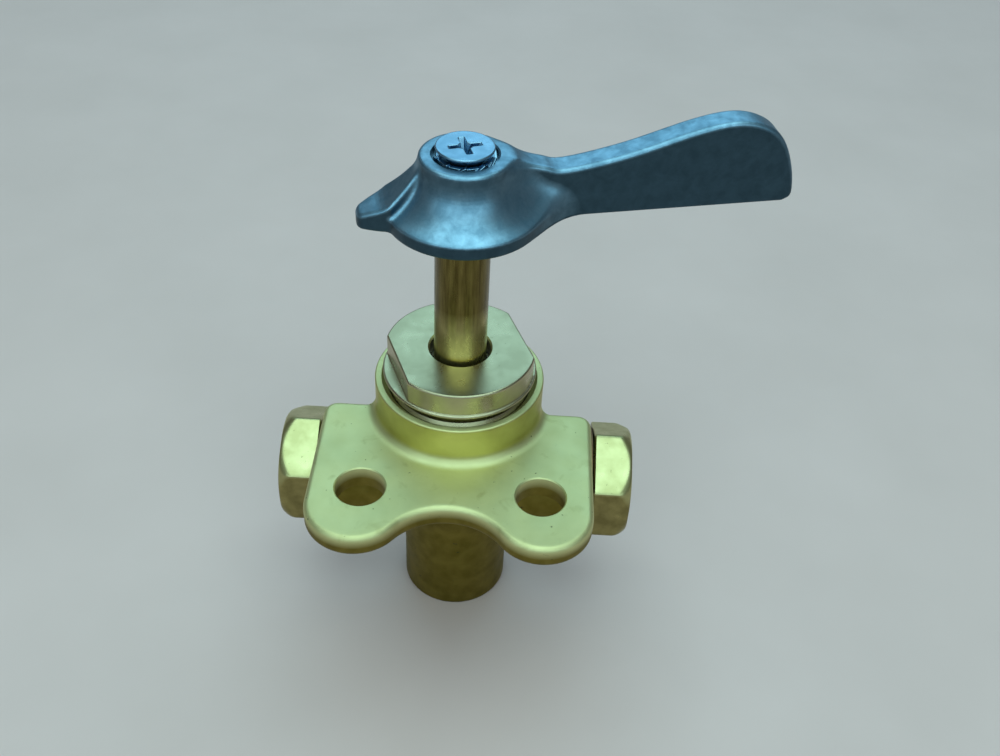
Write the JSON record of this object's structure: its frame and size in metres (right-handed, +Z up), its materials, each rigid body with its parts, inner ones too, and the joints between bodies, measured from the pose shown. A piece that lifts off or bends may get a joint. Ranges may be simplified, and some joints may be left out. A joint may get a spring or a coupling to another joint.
{
  "type": "gate valve",
  "caption": "Brass selector valve: a lever handle turns a rotary gate that joins the bottom port to the left or the right port, under a bonnet nut and a mounting flange.",
  "frame": {"origin": "on the flange's top face, midway between the two mounting holes", "axes": "+Z up, out of the flange's top face and parallel to the stem; +Y from the mounting holes towards the stem; +X along the side ports, to the right port"},
  "size_m": [0.0892, 0.0503, 0.1048],
  "materials": {
    "cast_brass": "matte tumbled casting",
    "machined_brass": "turned, satin",
    "stem_brass": "drawn bar, polished",
    "rotor_brass": "lapped",
    "cast_zinc": "die-cast zinc, satin grey-blue",
    "plated_steel": "zinc plated",
    "steel": "ground",
    "copper": "annealed copper",
    "fibre": "red fibre gasket",
    "packing": "graphited packing",
    "seat_polymer": "filled fluoropolymer"
  },
  "bodies": {
    "body": {"valve_body": "cast_brass", "bonnet_nut": "machined_brass", "bonnet_gasket": "fibre", "thrust_washer": "steel", "gland_washer": "steel", "packing_ring_lower": "packing", "packing_ring_middle": "packing", "packing_ring_upper": "packing", "left_port_bushing": "machined_brass", "right_port_bushing": "machined_brass", "left_port_washer": "copper", "right_port_washer": "copper", "left_seat_ring": "seat_polymer", "centre_seat_ring": "seat_polymer", "right_seat_ring": "seat_polymer", "stop_pin": "steel"},
    "handle": {"handle": "cast_zinc", "stem": "stem_brass", "handle_screw": "plated_steel", "handle_lock_washer": "plated_steel"},
    "rotor": {"gate_rotor": "rotor_brass", "rotor_spring": "steel", "spring_washer": "steel"}
  },
  "joints": [
    {"name": "handle_turn", "type": "hinge", "parent": "body", "child": "handle", "pos_m": [0, 0.0226, 0], "axis": [0, 0, 1], "range_deg": [-13.4, 166.6]},
    {"name": "rotor_turn", "type": "hinge", "parent": "body", "child": "rotor", "pos_m": [0, 0.0226, 0], "axis": [0, 0, 1], "range_deg": [-13.4, 166.6]}
  ],
  "couplings": [
    {"joint": "rotor_turn", "follows": "handle_turn", "ratio": 1}
  ]
}
